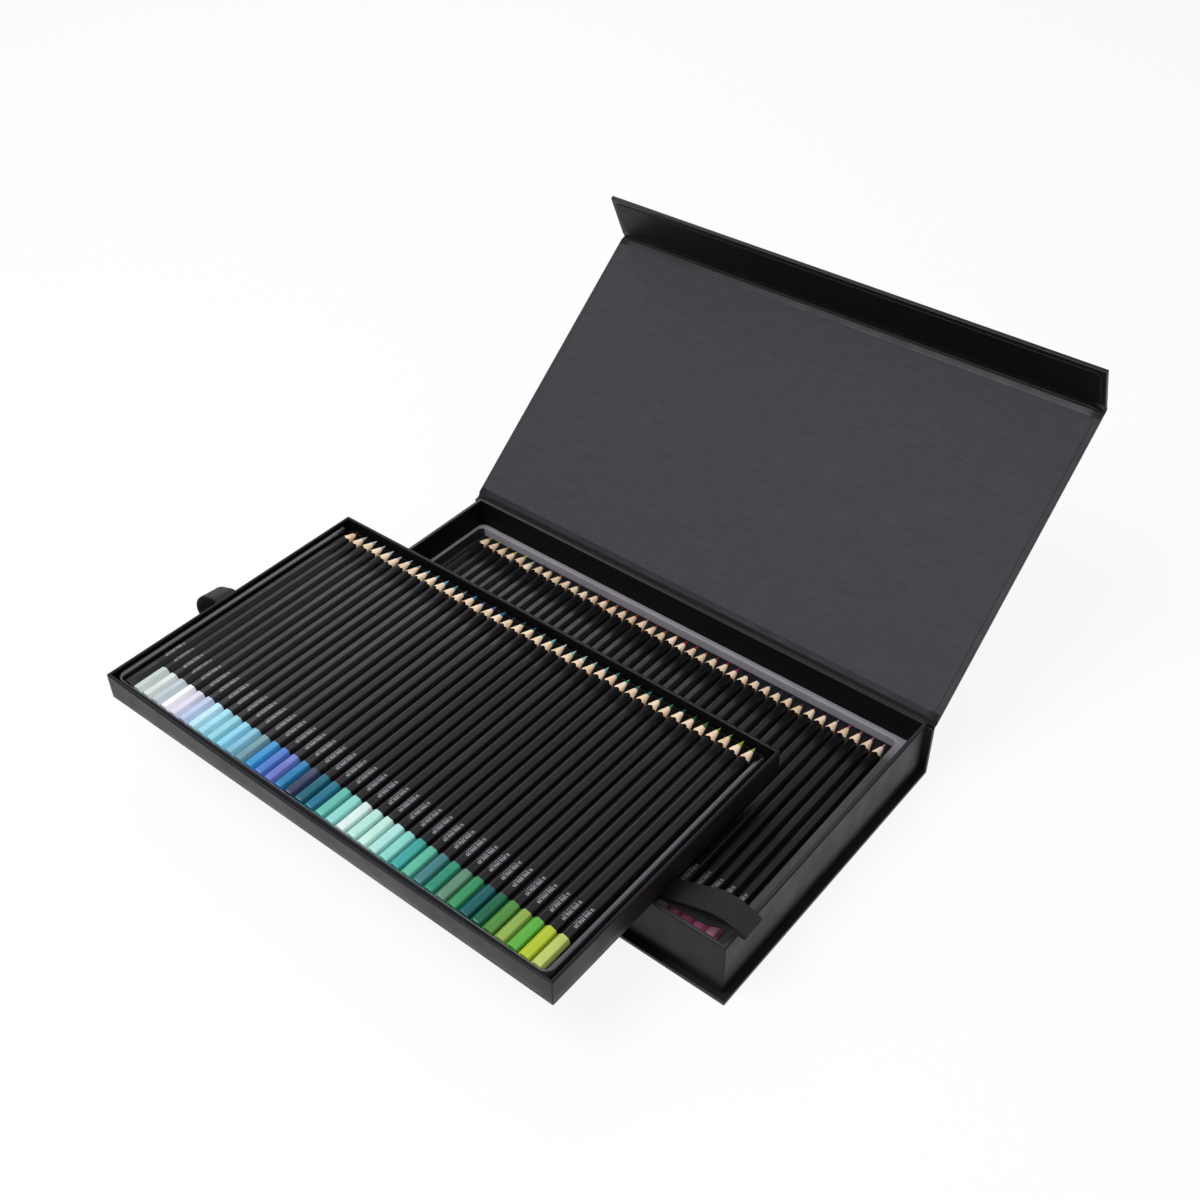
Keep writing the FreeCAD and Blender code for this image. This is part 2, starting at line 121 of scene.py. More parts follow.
def set_inputs(tree, node, inputs):
    """Gives each input a value, or a link where the value is a socket."""
    for name, value in inputs.items():
        if isinstance(value, bpy.types.NodeSocket):
            tree.links.new(value, node.inputs[name])
        else:
            node.inputs[name].default_value = value


def add_node(tree, kind, inputs, **settings):
    """A new shader node with its settings and inputs."""
    node = tree.nodes.new(kind)
    for name, setting in settings.items():
        setattr(node, name, setting)
    set_inputs(tree, node, inputs)
    return node


def maths(tree, operation, *values):
    """The result of a math node."""
    return add_node(tree, "ShaderNodeMath", dict(enumerate(values)), operation=operation).outputs[0]


SPECULAR_TINT = (0.955, 0.95, 1.0, 1.0)


class Finish:
    """A node material built around one Principled shader."""

    def __init__(self, name, roughness, specular=0.5, metallic=0.0):
        self.material = bpy.data.materials.new(name)
        self.material.use_nodes = True
        self.tree = self.material.node_tree
        self.principled({"Roughness": roughness, "Specular IOR Level": specular,
                         "Metallic": metallic, "Specular Tint": SPECULAR_TINT})
        self.place = add_node(self.tree, "ShaderNodeTexCoord", {}).outputs["Object"]
        self.bumped = None

    def principled(self, inputs):
        set_inputs(self.tree, self.tree.nodes["Principled BSDF"], inputs)

    def noise(self, scale, detail=3.0, rough=0.55, stretch=(1, 1, 1), distortion=0.0):
        """Noise over the object's coordinates, which are scaled along each axis first."""
        mapping = add_node(self.tree, "ShaderNodeMapping", {"Scale": stretch, "Vector": self.place})
        return add_node(self.tree, "ShaderNodeTexNoise", {
            "Scale": scale, "Detail": detail, "Roughness": rough, "Distortion": distortion,
            "Vector": mapping.outputs["Vector"]}).outputs["Fac"]

    def band(self, value, low, high, out_low=0.0, out_high=1.0):
        """Spreads a value from one range over another."""
        return add_node(self.tree, "ShaderNodeMapRange", {
            "From Min": low, "From Max": high, "To Min": out_low, "To Max": out_high,
            "Value": value}).outputs["Result"]

    def axes(self, vector):
        """The three parts of a vector."""
        return add_node(self.tree, "ShaderNodeSeparateXYZ", {"Vector": vector}).outputs

    def colour(self, value, dark, light):
        """The base colour, between two colours as the value goes from 0 to 1."""
        mixed = add_node(self.tree, "ShaderNodeMix", {"Factor": value, 6: dark, 7: light},
                         data_type="RGBA").outputs[2]
        self.principled({"Base Color": mixed})
        return mixed

    def tinted(self, colour, value, low, high, darker, lighter):
        """A base colour that goes from darker to lighter as the value goes from low to high."""
        base = linear(colour)
        return self.colour(self.band(value, low, high), shade(base, darker), shade(base, lighter))

    def roughness(self, value, low, high):
        self.principled({"Roughness": self.band(value, 0.3, 0.7, low, high)})

    def bump(self, height, distance):
        """A bump upon those made before, its distance in millimetres."""
        inputs = {"Distance": distance * MM, "Strength": 1.0, "Height": height}
        if self.bumped:
            inputs["Normal"] = self.bumped
        self.bumped = add_node(self.tree, "ShaderNodeBump", inputs).outputs["Normal"]
        self.principled({"Normal": self.bumped})


def paper(name, colour, low, high, grain=0.03, specular=0.5):
    """Dyed covering paper: a fine pressed grain, long fibres and slightly uneven colour."""
    finish = Finish(name, (low + high) / 2, specular)
    mottle = finish.noise(60, 4)
    fibre = finish.noise(420, 2, stretch=(0.25, 1, 1), distortion=0.6)
    finish.tinted(colour, maths(finish.tree, "ADD", mottle, fibre), 0.7, 1.3, 0.82, 1.18)
    finish.roughness(mottle, low, high)
    finish.bump(finish.noise(2600, 2), grain)
    finish.bump(fibre, grain * 0.6)
    return finish.material


def lacquer(name, colour, low=0.26, high=0.36):
    """Dipped paint on wood, with the faint ripple of the grain under it."""
    finish = Finish(name, (low + high) / 2)
    finish.tinted(colour, finish.noise(90, 3), 0.3, 0.7, 0.93, 1.05)
    finish.roughness(finish.noise(260, 2), low, high)
    finish.bump(finish.noise(900, 2, stretch=(1, 0.06, 1)), 0.012)
    return finish.material


# Where painted shade comes in along the lower liner's right side: from and to along X and along Y,
# in metres
SHADE_FROM_X, SHADE_TO_X = 0.147, 0.155
SHADE_FROM_Y, SHADE_TO_Y = 0.091, 0.074


def moulded(name, colour, low, high, painted_right_shade=None):
    """Thin formed plastic sheet, with a faint orange-peel.

    The last argument is a darker colour, painted as shade along the sheet's right edge
    and fading out towards its rear corner.
    """
    finish = Finish(name, (low + high) / 2)
    mottled = finish.tinted(colour, finish.noise(40, 3), 0.3, 0.7, 0.9, 1.1)
    if painted_right_shade:
        # Painted shade: the right side darkens, all but near the rear corner.
        parts = finish.axes(finish.place)
        dark = maths(finish.tree, "MULTIPLY", finish.band(parts["X"], SHADE_FROM_X, SHADE_TO_X),
                     finish.band(parts["Y"], SHADE_FROM_Y, SHADE_TO_Y))
        finish.colour(dark, mottled, linear(painted_right_shade))
    finish.roughness(finish.noise(120, 3), low, high)
    finish.bump(finish.noise(500, 2), 0.02)
    finish.bump(finish.noise(60, 2), 0.08)
    return finish.material


def bare_wood():
    """Cedar-like wood cut by a sharpener: grain along the pencil and fine turning marks."""
    finish = Finish("bare_wood", 0.72, 0.3)
    grain = finish.noise(1300, 4, 0.6, stretch=(1, 0.07, 1), distortion=0.4)
    patch = finish.noise(110, 2, stretch=(1, 0.5, 1))
    finish.colour(finish.band(maths(finish.tree, "ADD", grain, patch), 0.72, 1.28),
                  linear((0.86, 0.72, 0.57)), linear((1.0, 0.93, 0.83)))
    finish.bump(finish.noise(2400, 2, stretch=(1, 3, 1)), 0.02)
    finish.bump(grain, 0.03)
    return finish.material


def pigment(name, colour):
    """A waxy coloured lead, with powdery specks."""
    finish = Finish(name, 0.55, 0.4)
    finish.tinted(colour, finish.noise(2200, 2), 0.35, 0.65, 0.8, 1.12)
    finish.bump(finish.noise(3000, 2), 0.02)
    return finish.material


WEFT_PITCH = 0.55
WARP_PITCH = 0.42


def woven(name, colour):
    """A black satin ribbon: cross ribs, each broken by fine lengthwise threads."""
    finish = Finish(name, 0.55, 0.4)
    route = add_node(finish.tree, "ShaderNodeAttribute", {}, attribute_name="along_across")
    parts = finish.axes(route.outputs["Vector"])

    def thread(value, pitch):
        turn = maths(finish.tree, "MULTIPLY", value, 2 * math.pi / pitch)
        return finish.band(maths(finish.tree, "SINE", turn), -1, 1)

    weave = maths(finish.tree, "ADD", thread(parts["X"], WEFT_PITCH),
                  thread(parts["Y"], WARP_PITCH))
    finish.tinted(colour, weave, 0.3, 1.7, 0.6, 1.35)
    finish.bump(weave, 0.09)
    finish.bump(finish.noise(300, 3), 0.05)
    finish.principled({"Sheen Weight": 0.04, "Sheen Roughness": 0.4})
    return finish.material


def metal(name, colour, roughness):
    finish = Finish(name, roughness, metallic=1.0)
    finish.tinted(colour, finish.noise(700, 3), 0.3, 0.7, 0.8, 1.1)
    finish.bump(finish.noise(1800, 2), 0.01)
    return finish.material


COVER_PAPER = paper("cover_paper", (0.05, 0.048, 0.055), 0.38, 0.50, specular=0.42)
BOX_PAPER = paper("box_paper", (0.044, 0.042, 0.05), 0.37, 0.49, specular=0.17)
# The box paper made lighter for the wall tops: painted light along their edges.
LIT_TOP_PAPER = paper("top_edge_painted_light", (0.11, 0.107, 0.116), 0.36, 0.48, specular=0.5)
TRAY_PAPER = paper("tray_paper", (0.055, 0.052, 0.062), 0.38, 0.50, specular=0.27)
INNER_PAPER = paper("inner_paper", (0.035, 0.034, 0.038), 0.5, 0.62, specular=0.12)
CREASE_PAPER = paper("crease_paper", (0.05, 0.048, 0.054), 0.42, 0.54, grain=0.05, specular=0.4)
FOLD_PAPER = paper("fold_paper", (0.085, 0.082, 0.09), 0.5, 0.62, grain=0.05, specular=0.25)
LINING_PAPER = paper("lining_paper", (0.20, 0.19, 0.208), 0.62, 0.74, grain=0.02, specular=0.3)
BORDER_PAPER = paper("border_paper", (0.178, 0.17, 0.185), 0.55, 0.68, grain=0.03, specular=0.3)
FLAP_LINING_PAPER = paper("flap_lining_paper", (0.035, 0.033, 0.038), 0.44, 0.56, grain=0.02,
                          specular=0.24)
LINER_BLACK = moulded("liner_black", (0.05, 0.05, 0.055), 0.24, 0.36)
# Its third colour is painted shade along the right flange, fading out at the rear corner.
LOWER_RIM = moulded("lower_liner_rim", (0.535, 0.525, 0.555), 0.40, 0.52, (0.24, 0.24, 0.252))
# The same grey plastic darkened: painted shade for the lower liner's tub walls and floor.
LOWER_SHADED_FLOOR = moulded("lower_liner_floor", (0.16, 0.158, 0.168), 0.3, 0.42)
UPPER_RIM = moulded("upper_liner_rim", (0.27, 0.272, 0.29), 0.28, 0.40)
BARREL = lacquer("barrel_lacquer", (0.06, 0.056, 0.065), 0.34, 0.44)
WOOD = bare_wood()
RIBBON = woven("ribbon_weave", (0.045, 0.042, 0.049))
FOIL = pigment("silver_ink", (0.62, 0.62, 0.645))
STEEL = metal("keeper_steel", (0.55, 0.56, 0.58), 0.35)
PLATING = metal("magnet_plating", (0.70, 0.70, 0.72), 0.22)


# Meshes

def new_object(name, verts, faces, materials, indices=None, smooth=True):
    """A mesh object from corners in millimetres."""
    mesh = bpy.data.meshes.new(name)
    mesh.from_pydata([(x * MM, y * MM, z * MM) for x, y, z in verts], [], faces)
    for material in materials:
        mesh.materials.append(material)
    mesh.polygons.foreach_set("use_smooth", [smooth] * len(mesh.polygons))
    if indices:
        mesh.polygons.foreach_set("material_index", indices)
    mesh.update()
    thing = bpy.data.objects.new(name, mesh)
    bpy.context.scene.collection.objects.link(thing)
    return thing


def place(thing, body, slot, replaced=()):
    """Puts a piece on its body, in place of the CAD nodes it stands for; the slot is not used."""
    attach(thing, body)
    if replaced:
        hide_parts(*replaced)


def outward(thing):
    """Turns every face outwards."""
    mesh = bmesh.new()
    mesh.from_mesh(thing.data)
    bmesh.ops.recalc_face_normals(mesh, faces=mesh.faces)
    mesh.to_mesh(thing.data)
    mesh.free()


def sheet_faces(rows, wide):
    """Faces of a closed sheet from two grids of corners, one for each side, row after row."""
    size = rows * wide
    faces = []
    for r in range(rows - 1):
        for c in range(wide - 1):
            a, b = r * wide + c, (r + 1) * wide + c
            faces.append([a, a + 1, b + 1, b])
            faces.append([size + a, size + b, size + b + 1, size + a + 1])
        for c in (0, wide - 1):
            a, b = r * wide + c, (r + 1) * wide + c
            faces.append([a, b, size + b, size + a])
    for c in range(wide - 1):
        for r in (0, rows - 1):
            a = r * wide + c
            faces.append([a, a + 1, size + a + 1, size + a])
    return faces


def weigh_normals(thing):
    """Keeps broad faces flat beside their rounded edges."""
    modifier = thing.modifiers.new("even_faces", "WEIGHTED_NORMAL")
    modifier.keep_sharp = True
    modifier.weight = 90


def prism(name, outline, x_from, x_to, material, matrix=None, upper_face=None):
    """A board with the given (y, z) outline and rounded edges, drawn from x to x.

    upper_face is a second material for the face that looks along +Z before the matrix.
    """
    count = len(outline)
    verts = [(x, y, z) for x in (x_from, x_to) for y, z in outline]
    faces = [list(range(count)), [count + n for n in reversed(range(count))]]
    for n in range(count):
        m = (n + 1) % count
        faces.append([n, n + count, m + count, m])
    thing = new_object(name, verts, faces, [material, upper_face] if upper_face else [material])
    mesh = bmesh.new()
    mesh.from_mesh(thing.data)
    bmesh.ops.recalc_face_normals(mesh, faces=mesh.faces)
    bmesh.ops.bevel(mesh, geom=list(mesh.edges), offset=BOARD_EDGE * MM, segments=3,
                    profile=0.5, affect="EDGES", clamp_overlap=True)
    for face in mesh.faces:
        face.smooth = True
        if upper_face and face.normal.z > 0.9:
            face.material_index = 1
    if matrix:
        scaled = Matrix.Translation([c * MM for c in matrix.translation]) @ matrix.to_3x3().to_4x4()
        mesh.transform(scaled)
    mesh.to_mesh(thing.data)
    mesh.free()
    weigh_normals(thing)
    return thing


def rectangle(y_from, y_to, z_from, z_to):
    return [(y_from, z_from), (y_to, z_from), (y_to, z_to), (y_from, z_to)]


def arc_points(cx, cy, radius, start, end, steps):
    turns = [math.radians(start + (end - start) * n / steps) for n in range(steps + 1)]
    return [(cx + radius * math.cos(turn), cy + radius * math.sin(turn)) for turn in turns]


def rounded_loop(x_from, x_to, y_from, y_to, radius, arc_steps, side_steps):
    """Points round a rectangle with rounded corners, starting on the front side."""
    radius = max(radius, 0.02)
    centres = [(x_to - radius, y_from + radius, -90), (x_to - radius, y_to - radius, 0),
               (x_from + radius, y_to - radius, 90), (x_from + radius, y_from + radius, 180)]
    points = []
    for number, (cx, cy, start) in enumerate(centres):
        points += arc_points(cx, cy, radius, start, start + 90, arc_steps)
        ahead = centres[(number + 1) % 4]
        turn = math.radians(ahead[2])
        target = (ahead[0] + radius * math.cos(turn), ahead[1] + radius * math.sin(turn))
        last = points[-1]
        for step in range(1, side_steps):
            t = step / side_steps
            points.append((last[0] + (target[0] - last[0]) * t,
                           last[1] + (target[1] - last[1]) * t))
    return points


def skin(loops, closed=False):
    """Faces between successive loops of equal length."""
    verts = [p for loop in loops for p in loop]
    size = len(loops[0])
    faces = []
    rows = len(loops) if closed else len(loops) - 1
    for row in range(rows):
        low, high = row * size, ((row + 1) % len(loops)) * size
        for n in range(size):
            m = (n + 1) % size
            faces.append([low + n, low + m, high + m, high + n])
    return verts, faces


def wall_frame(name, box, wall, z_from, z_to, corner, material, bow, lining=0.12,
               lit_top_paper=None):
    """Four paper-wrapped walls in one skin, mitred at the corners, with rounded top edges."""
    x0, x1, y0, y1 = box
    edge = 0.7
    quarter = [math.radians(a) for a in (0, 22, 45, 67, 90)]
    profile = [(0, z_from)] + [(0, z_from + (z_to - z_from - edge) * t) for t in (0.33, 0.66)]
    profile += [(edge - edge * math.cos(a), z_to - edge + edge * math.sin(a)) for a in quarter]
    inner = wall + lining
    profile += [(inner - edge + edge * math.sin(a), z_to - edge + edge * math.cos(a))
                for a in quarter]
    profile += [(inner, z_from + (z_to - z_from - edge) * t) for t in (0.66, 0.33)]
    profile += [(inner, z_from)]
    loops = []
    for inset, z in profile:
        radius = corner - inset if inset < corner else 0.25
        loop = rounded_loop(x0 + inset, x1 - inset, y0 + inset, y1 - inset, radius, 4, 16)
        loops.append([(*bow(x, y, z), z) for x, y in loop])
    verts, faces = skin(loops, closed=True)
    around = len(loops[0])
    rows = [n // around for n in range(len(faces))]
    # Inner faces take the inner paper; the rounded tops take the top paper, which on the box walls
    # is lighter as painted light.
    papers = [1 if row >= len(loops) - 4 else 2 if 5 < row < 9 else 0 for row in rows]
    thing = new_object(name, verts, faces, [material, INNER_PAPER, lit_top_paper or material], papers)
    outward(thing)
    weigh_normals(thing)
    return thing


# Cover and box

# The rear wall of the box is shown thinner than its solid: what is left of it below and at its
# top, which reaches back over the spine by the lip. The lower liner follows by the play.
REAR_WALL_SHARE = 0.32
REAR_TOP_SHARE = 0.74
REAR_LIP = 1.1
REAR_PLAY = 1.7
FRONT_BOW = 0.35

# A point this near to a wall's outer face belongs to it
NEAR_WALL = 4


def make_case():
    base_low, base_high = extent("cover_base_board")
    spine_low, spine_high = extent("cover_spine_board")
    outline = [(base_low[1], base_low[2]), (spine_high[1], base_low[2]),
               (spine_high[1], spine_high[2]), (spine_low[1], spine_high[2]),
               (spine_low[1], base_high[2]), (base_low[1], base_high[2])]
    cover = prism("cover_back", outline, base_low[0], base_high[0], COVER_PAPER)
    place(cover, "case", "cover_wrap", ["cover_base_board", "cover_spine_board"])

    low, high = extent("box_front_wall")
    rear = extent("box_rear_wall")[1]

    def slight_bow(x, y, z):
        """The front wall leans out in its middle; the rear one is thin against the spine."""
        if y > rear[1] - NEAR_WALL:
            if z > spine_high[2]:
                return x, rear[1] + REAR_LIP - (rear[1] - y) * REAR_TOP_SHARE
            return x, rear[1] - (rear[1] - y) * REAR_WALL_SHARE
        if y > low[1] + NEAR_WALL:
            return x, y
        lift = (z - low[2]) / (high[2] - low[2])
        return x, y - FRONT_BOW * (1 - (x / high[0]) ** 2) * lift

    box = wall_frame("box_walls", (low[0], high[0], low[1], rear[1]), BOX_WALL, low[2], high[2],
                     0.9, BOX_PAPER, slight_bow, lit_top_paper=LIT_TOP_PAPER)
    place(box, "case", "box_wrap",
          ["box_front_wall", "box_rear_wall", "box_left_wall", "box_right_wall"])


def make_lid():
    low, high = extent("lid_board")
    board = prism("lid_panel", rectangle(CREASE_GAP, LID_LENGTH - CREASE_GAP, -BOARD, 0),
                  low[0], high[0], COVER_PAPER, lid_matrix(), BORDER_PAPER)
    place(board, "lid", "cover_wrap", ["lid_board"])
    lining_sheet("lid_inner_lining", CREASE_GAP + LID_INSET, LID_LENGTH - CREASE_GAP - LID_INSET,
                 LID_INSET, low[0], high[0], LINING_PAPER, lid_matrix(), "lid", "lid_lining")
    flap = prism("flap_panel", rectangle(CREASE_GAP, FLAP_LENGTH, -BOARD, 0), low[0], high[0],
                 COVER_PAPER, flap_matrix())
    place(flap, "flap", "cover_wrap", ["flap_board"])
    lining_sheet("flap_inner_lining", CREASE_GAP + FLAP_INSET, FLAP_LENGTH - FLAP_INSET,
                 FLAP_INSET, low[0], high[0], FLAP_LINING_PAPER, flap_matrix(), "flap",
                 "flap_lining")


def lining_sheet(name, y_from, y_to, inset, x_from, x_to, material, matrix, body, node):
    """A pasted sheet with rounded corners, half a millimetre proud of the board."""
    loops = []
    for shrink, height in ((0, 0.0), (0, 0.28), (0.12, 0.42), (0.35, 0.5), (2.5, 0.5)):
        loop = rounded_loop(x_from + inset + shrink, x_to - inset - shrink, y_from + shrink,
                            y_to - shrink, max(3.5 - shrink, 0.9), 6, 12)
        loops.append([tuple(matrix @ Vector((x, y, height))) for x, y in loop])
    verts, faces = skin(loops)
    size = len(loops[0])
    faces.append([len(verts) - size + n for n in range(size)])
    sheet = new_object(name, verts, faces, [material])
    outward(sheet)
    weigh_normals(sheet)
    place(sheet, body, "lining_paper", [node])


def smooth_route(points, per_span=8):
    """A smooth curve through points, as a dense list."""
    result = []
    ends = [points[0]] + list(points) + [points[-1]]
    for number in range(1, len(ends) - 2):
        p0, p1, p2, p3 = [Vector(p) for p in ends[number - 1:number + 3]]
        for step in range(per_span):
            t = step / per_span
            result.append(0.5 * ((2 * p1) + (p2 - p0) * t + (2 * p0 - 5 * p1 + 4 * p2 - p3) * t * t
                                 + (3 * p1 - p0 - 3 * p2 + p3) * t ** 3))
    result.append(Vector(points[-1]))
    return result


def crease_strip(name, points, x_from, x_to, thickness, side, node=None,
                 material=CREASE_PAPER):
    """A strip of covering paper along a (y, z) line, with rounded long ends."""
    line = smooth_route(points)
    columns = 48
    verts = []
    for layer in (0, 1):
        for n, p in enumerate(line):
            ahead = line[min(n + 1, len(line) - 1)] - line[max(n - 1, 0)]
            normal = Vector((-ahead[1], ahead[0])).normalized() * side
            taper = min(1.0, 0.15 + min(n, len(line) - 1 - n) / 5)
            q = p + normal * thickness * taper * layer
            for c in range(columns + 1):
                x = x_from + (x_to - x_from) * c / columns
                verts.append((x, q[0], q[1]))
    strip = new_object(name, verts, sheet_faces(len(line), columns + 1), [material])
    outward(strip)
    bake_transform(strip)
    if node:
        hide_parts(node)


# Thickness of the paper outside and inside the folds
OUTER_STRIP = 0.25
INNER_STRIP = 0.22


def make_creases():
    low, high = extent("lid_board")
    x0, x1 = low[0] + 0.3, high[0] - 0.3
    y, z = HINGE
    u, out = towards(LID_ANGLE), towards(LID_ANGLE - 90)
    at = Vector(HINGE)
    lid_outer = at + out * (BOARD + 0.02)
    points = [(y + 0.02, z - 8), (y + 0.02, z - 4.5), (y + 0.08, z - 2.4),
              at + Vector((0.9, -1.75)), at + Vector((2.2, -1.75)),
              lid_outer + u * 2.1, lid_outer + u * 3.6, lid_outer + u * 7.5]
    crease_strip("lid_crease_outer", points, x0, x1, OUTER_STRIP, -1,
                 "lid_crease")
    lid_inner = at - out * 0.02
    points = [(y - 1.36, z - 0.35), (y - 1.15, z - 0.9), (y - 0.5, z - 1.5), (y + 0.5, z - 0.85),
              lid_inner + u * 2.2, lid_inner + u * 3.4, lid_inner + u * 6.2]
    crease_strip("lid_crease_inner", points, x0 + 0.5, x1 - 0.5, INNER_STRIP, 1,
                 material=FOLD_PAPER)

    v, flap_out = towards(FLAP_ANGLE), towards(FLAP_ANGLE - 90)
    lid_back, flap_back = FOLD + out * (BOARD + 0.02), FOLD + flap_out * (BOARD + 0.02)
    bisector = (out + flap_out).normalized()
    points = [lid_back - u * 7, lid_back - u * 4, lid_back - u * 2, FOLD + bisector * 3.0,
              flap_back + v * 2, flap_back + v * 4, flap_back + v * 7]
    crease_strip("flap_crease_outer", points, x0, x1, OUTER_STRIP, -1,
                 "flap_crease")
    lid_front, flap_front = FOLD - out * 0.02, FOLD - flap_out * 0.02
    points = [lid_front - u * 5.8, lid_front - u * 3.2, lid_front - u * 1.7,
              FOLD + bisector * 0.35, flap_front + v * 1.7, flap_front + v * 3.2,
              flap_front + v * 5.2]
    crease_strip("flap_crease_inner", points, x0 + 0.5, x1 - 0.5, INNER_STRIP, 1)


# Tray

TRAY_BOW = 2.0
REAR_BOW_SHARE = 0.55


def make_tray():
    low, high = extent("tray_front_wall")
    rear = extent("tray_rear_wall")[1]
    middle, half = (low[0] + high[0]) / 2, (high[0] - low[0]) / 2

    def bow(x, y, z):
        """The long walls lean out between their corners, most at the top."""
        lift = (z - low[2]) / (high[2] - low[2])
        share = max(0, 1 - ((x - middle) / half) ** 2) * lift
        if y < low[1] + NEAR_WALL:
            y -= TRAY_BOW * share
        elif y > rear[1] - NEAR_WALL:
            y += TRAY_BOW * REAR_BOW_SHARE * share
        return x, y

    walls = wall_frame("tray_walls", (low[0], high[0], low[1], rear[1]), TRAY_WALL, low[2],
                       high[2], 0.8, TRAY_PAPER, bow, lining=0.05)
    place(walls, "tray", "tray_wrap",
          ["tray_front_wall", "tray_rear_wall", "tray_left_wall", "tray_right_wall"])


# Liners

def hump(share):
    """A rounded ridge: 1 on its crest and 0 where the share of its half width is 1."""
    return 0.5 + 0.5 * math.cos(math.pi * share)


# Widths of the liners' rims: left, right, front and rear
LOWER_RIM_WIDTHS = (2.0, 11.2, 2.2, 3.6)
UPPER_RIM_WIDTHS = (2.9, 2.5, 0.8, 1.2)
LEDGE_DEPTH = 5.5
RIDGE_HALF_WIDTH = 1.6
RIDGE_DROP = 1.0
LINER_SHEET = 0.5


def rim_and_floor(layer, body, low, high, inner, radii, row, materials, shape_floor,
                  shape_rim=None, shaded_behind=None):
    """A formed liner: a rolled rim, walls down to a floor of rounded ridges, and a skirt.

    Its outer form goes from low to high and its tub is inner, with a corner radius for each;
    materials are those of the rim and of the floor. shape_floor and shape_rim give a corner's
    height from where it is, and behind the depth given last the rim has the floor's material,
    painted there as shade.
    """
    name, node, slot = (layer + "_liner" + ending for ending in ("_sheet", "", "_plastic"))
    base, top, floor = low[2], high[2], row.axis - HALF_FLATS
    out_loop = rounded_loop(low[0], high[0], low[1], high[1], radii[0], 8, 24)
    in_loop = rounded_loop(*inner, radii[1], 8, 24)

    def between(t, z):
        loop = [(a[0] + (b[0] - a[0]) * t, a[1] + (b[1] - a[1]) * t)
                for a, b in zip(out_loop, in_loop)]
        if shape_rim:
            return [(x, y, shape_rim(x, y, z)) for x, y in loop]
        return [(x, y, z) for x, y in loop]

    # The rim rolls over at its outer and inner edges.
    profile = [(0.0, base), (0.0, (base + top) / 2), (0.0, top - 0.3), (0.015, top - 0.08),
               (0.04, top), (0.5, top), (0.86, top), (0.94, top - 0.1), (0.985, top - 0.4),
               (1.0, top - 0.9), (1.0, floor + 0.6), (1.0, floor - 0.2)]
    loops = [between(t, z) for t, z in profile]
    verts, faces = skin(loops)
    indices = []
    # The tub's walls take the floor's material, all but the lit top band of the rear wall; in the
    # lower liner that material is its plastic darkened, painted shade.
    for level, loop in enumerate(loops[:-1]):
        for x, y, z in loop:
            # Behind the given depth the rim takes the floor's material as painted shade.
            behind = shaded_behind is not None and y > shaded_behind
            lit_rear = level == 9 and y > inner[3] - 1 and x > inner[0] + 8
            indices.append(1 if behind or (level >= 9 and not lit_rear) else 0)
    thing = new_object(name + "_rim", verts, faces, materials, indices)
    place(thing, body, slot, [node])

    # The floor, with a rounded ridge between pencils
    x0, x1, y0, y1 = inner
    columns, x = [x0], x0
    step = row.pitch / 10
    while x < x1 - step:
        x += step
        columns.append(x)
    columns.append(x1)
    rows = [y0 + (y1 - y0) * n / 10 for n in range(11)]

    def height(x, y):
        place_in_row = (x - row.first) / row.pitch + 0.5
        away = abs(place_in_row - round(place_in_row)) * row.pitch
        z = floor
        if -0.3 < place_in_row < ROW_COUNT + 0.3 and away < RIDGE_HALF_WIDTH:
            z += (HALF_FLATS - RIDGE_DROP) * hump(away / RIDGE_HALF_WIDTH)
        return shape_floor(x, y, z)

    verts = [(x, y, height(x, y)) for y in rows for x in columns]
    wide = len(columns)
    faces = [[r * wide + c, r * wide + c + 1, (r + 1) * wide + c + 1, (r + 1) * wide + c]
             for r in range(len(rows) - 1) for c in range(wide - 1)]
    ground = new_object(name + "_floor", verts, faces, materials[1:])
    thick = ground.modifiers.new("sheet", "SOLIDIFY")
    thick.thickness = LINER_SHEET * MM
    thick.offset = -1
    place(ground, body, slot, [node])


Row = namedtuple("Row", "first pitch butt length axis")


def pencil_row(layer, family):
    """Where a row lies, from its solids: first is the first axis, axis the axes' height."""
    low, high = extent(layer + "_barrels")
    width = high[0] - low[0]
    height = (low[2] + high[2]) / 2
    corner = (high[2] - low[2]) / 2 / math.cos(math.radians(30))
    pitch = (width - 2 * corner) / (ROW_COUNT - 1)
    butt = extent(layer + "_dips_" + family)[0][1]
    tip = extent(layer + "_leads_" + family)[1][1]
    return Row(low[0] + corner, pitch, butt, tip - butt, height)


def tub(low, high, widths):
    """The hollow of a liner inside its rim: from and to along X, from and to along Y."""
    left, right, front, rear = widths
    return low[0] + left, high[0] - right, low[1] + front, high[1] - rear


def make_lower_liner():
    row = pencil_row("lower", "yellows")
    low, high = extent("lower_liner")
    high[1] += REAR_PLAY
    inner = tub(low, high, LOWER_RIM_WIDTHS)
    bead_at, bead_half_width, bead_height, bead_clearance = inner[0] + 2.6, 0.9, 1.5, 14

    def side_bead(x, y, z):
        """A low bead to the left of the row; the ridges run out before the rear."""
        away = abs(x - bead_at)
        if y > inner[3] - bead_clearance:
            z = row.axis - HALF_FLATS
        if away < bead_half_width:
            z += bead_height * hump(away / bead_half_width)
        return z

    # The second material, the rim's plastic darkened, paints shade on the tub's walls and floor.
    rim_and_floor("lower", "case", low, high, inner, (5.0, 2.8), row, [LOWER_RIM, LOWER_SHADED_FLOOR],
                  side_bead)


